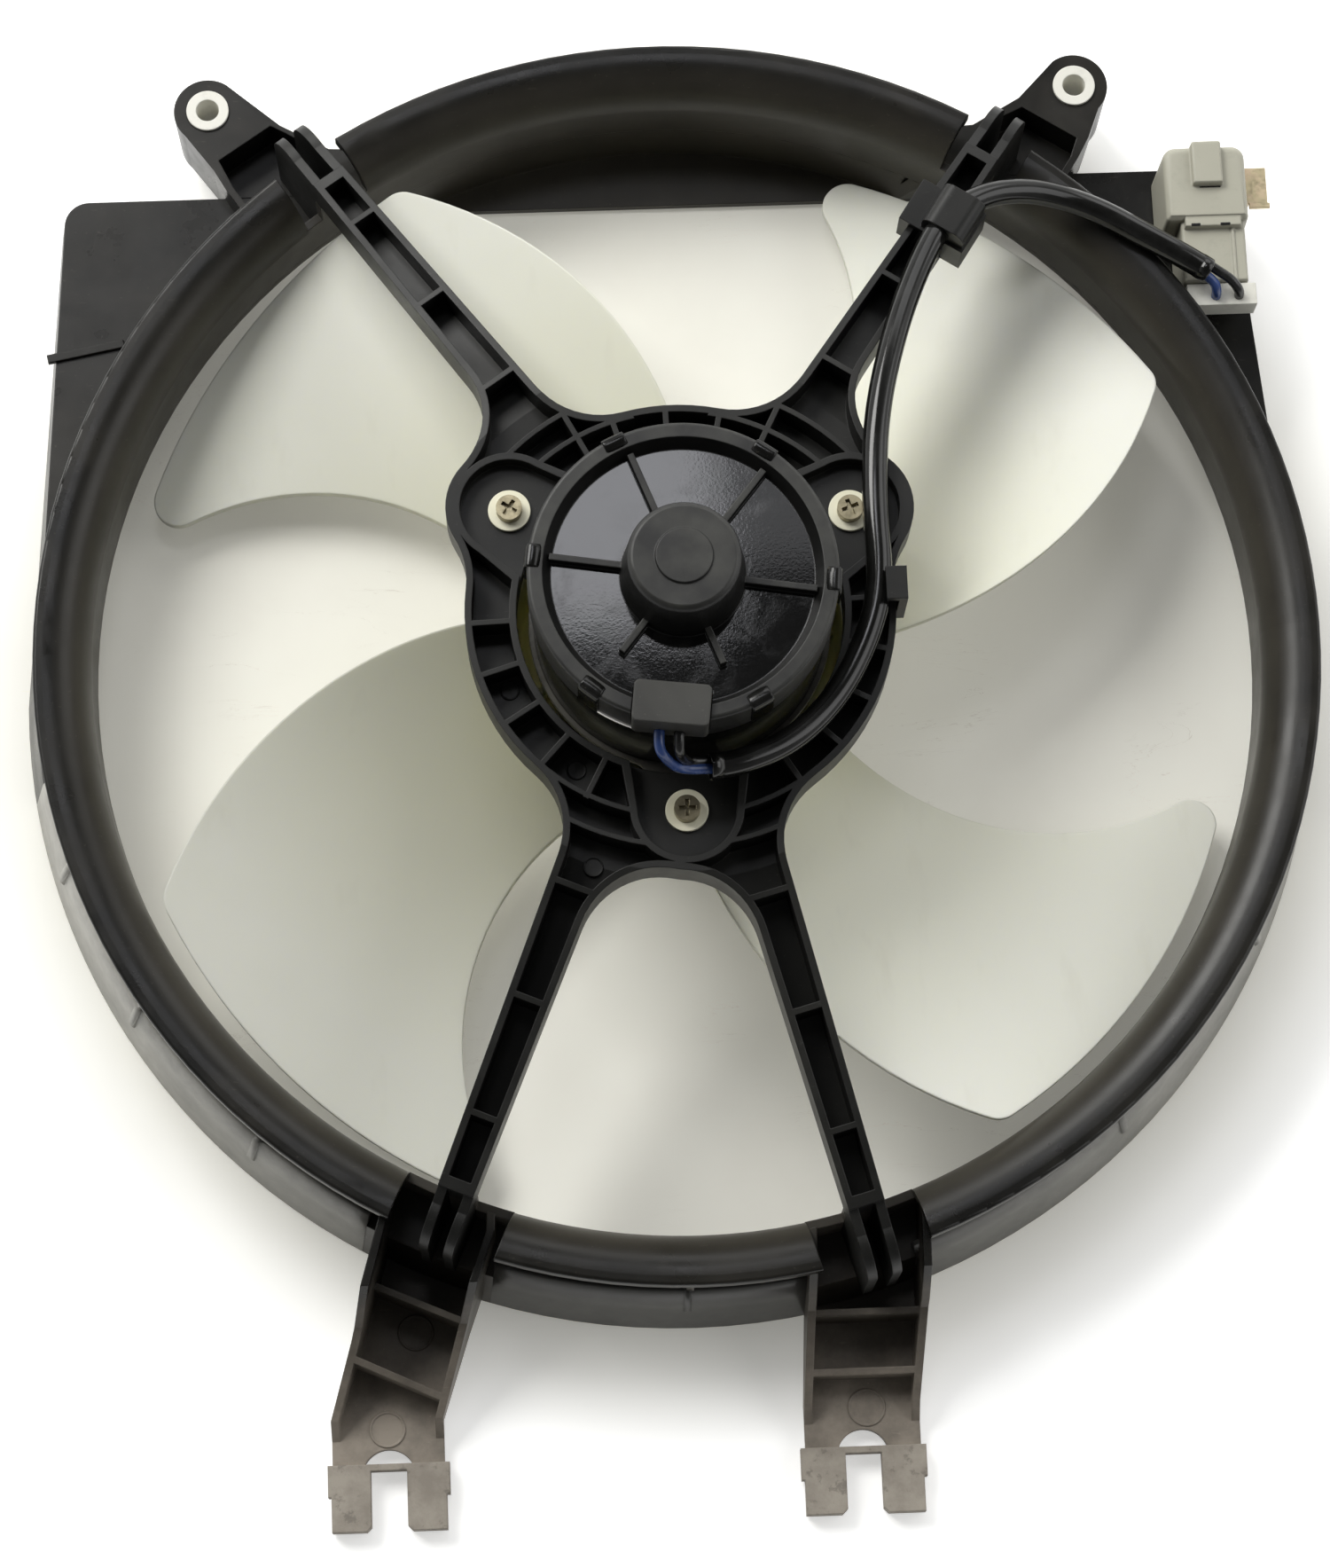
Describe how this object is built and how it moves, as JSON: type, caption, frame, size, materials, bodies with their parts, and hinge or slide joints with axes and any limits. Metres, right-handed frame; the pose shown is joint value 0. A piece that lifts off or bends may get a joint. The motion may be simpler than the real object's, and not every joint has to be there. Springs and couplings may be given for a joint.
{
  "type": "radiator fan shroud",
  "caption": "Moulded radiator fan shroud with a bell-mouthed ring, a ribbed motor carrier, an electric motor, a bladed fan, a wiring lead and mounting ears and feet.",
  "frame": {"origin": "on the fan axis, in the plane where the rim of the shroud meets the radiator", "axes": "+Z along the fan axis from the radiator side to the motor side, +Y towards the two upper ears, +X to the right when looking at the motor"},
  "size_m": [0.3626, 0.4091, 0.1256],
  "materials": {
    "shroud_plastic": "satin moulded black polypropylene",
    "carrier_plastic": "satin moulded black glass-filled nylon",
    "clip_rubber": "dull grey-brown moulded elastomer",
    "white_nylon": "natural white nylon",
    "motor_steel": "black painted drawn steel",
    "cap_plastic": "gloss black moulded cap with a satin rim",
    "zinc_steel": "bright zinc plated steel",
    "ivory_washer": "ivory nylon",
    "zinc_screw": "zinc plated screw",
    "ferrite": "dark sintered ferrite",
    "brush_card_plastic": "brown phenolic board",
    "carbon": "copper-carbon brush",
    "spring_steel": "ground steel",
    "bearing_bronze": "sintered bronze",
    "grommet_rubber": "black moulded rubber",
    "lead_blue": "blue PVC insulation",
    "lead_black": "black PVC insulation",
    "sleeve_black": "gloss black PVC sleeving",
    "connector_grey": "warm light grey moulded nylon",
    "terminal_brass": "brass",
    "yellow_zinc": "yellow chromated zinc plate",
    "fan_nylon": "natural ivory nylon, slightly translucent",
    "core_steel": "stacked steel laminations",
    "copper_wire": "enamelled copper wire"
  },
  "bodies": {
    "shroud": {"shroud_plenum": "shroud_plastic", "shroud_barrel": "shroud_plastic", "left_ear": "shroud_plastic", "right_ear": "shroud_plastic", "left_leg": "shroud_plastic", "right_leg": "shroud_plastic", "left_clip": "clip_rubber", "right_clip": "clip_rubber", "motor_carrier": "carrier_plastic", "sleeve_clip": "carrier_plastic", "mount_collars": "white_nylon", "motor_can": "motor_steel", "motor_end_cap": "cap_plastic", "motor_mount_plate": "zinc_steel", "mount_washers": "ivory_washer", "mount_screws": "zinc_screw", "mount_nuts": "zinc_screw", "field_magnets": "ferrite", "brush_card": "brush_card_plastic", "brushes": "carbon", "brush_springs": "spring_steel", "bearing_front": "bearing_bronze", "bearing_rear": "bearing_bronze", "wire_grommet": "grommet_rubber", "lead_blue": "lead_blue", "lead_black": "lead_black", "wire_sleeve": "sleeve_black", "connector_housing": "connector_grey", "connector_retainer": "white_nylon", "connector_terminals": "terminal_brass", "connector_bracket": "yellow_zinc"},
    "rotor": {"fan": "fan_nylon", "fan_nut": "zinc_steel", "fan_washer": "zinc_steel", "drive_pin": "spring_steel", "rotor_shaft": "spring_steel", "armature_core": "core_steel", "armature_windings": "copper_wire", "commutator": "terminal_brass"}
  },
  "joints": [
    {"name": "fan_spin", "type": "hinge", "parent": "shroud", "child": "rotor", "pos_m": [0, 0, 0], "axis": [0, 0, 1], "continuous": true}
  ]
}
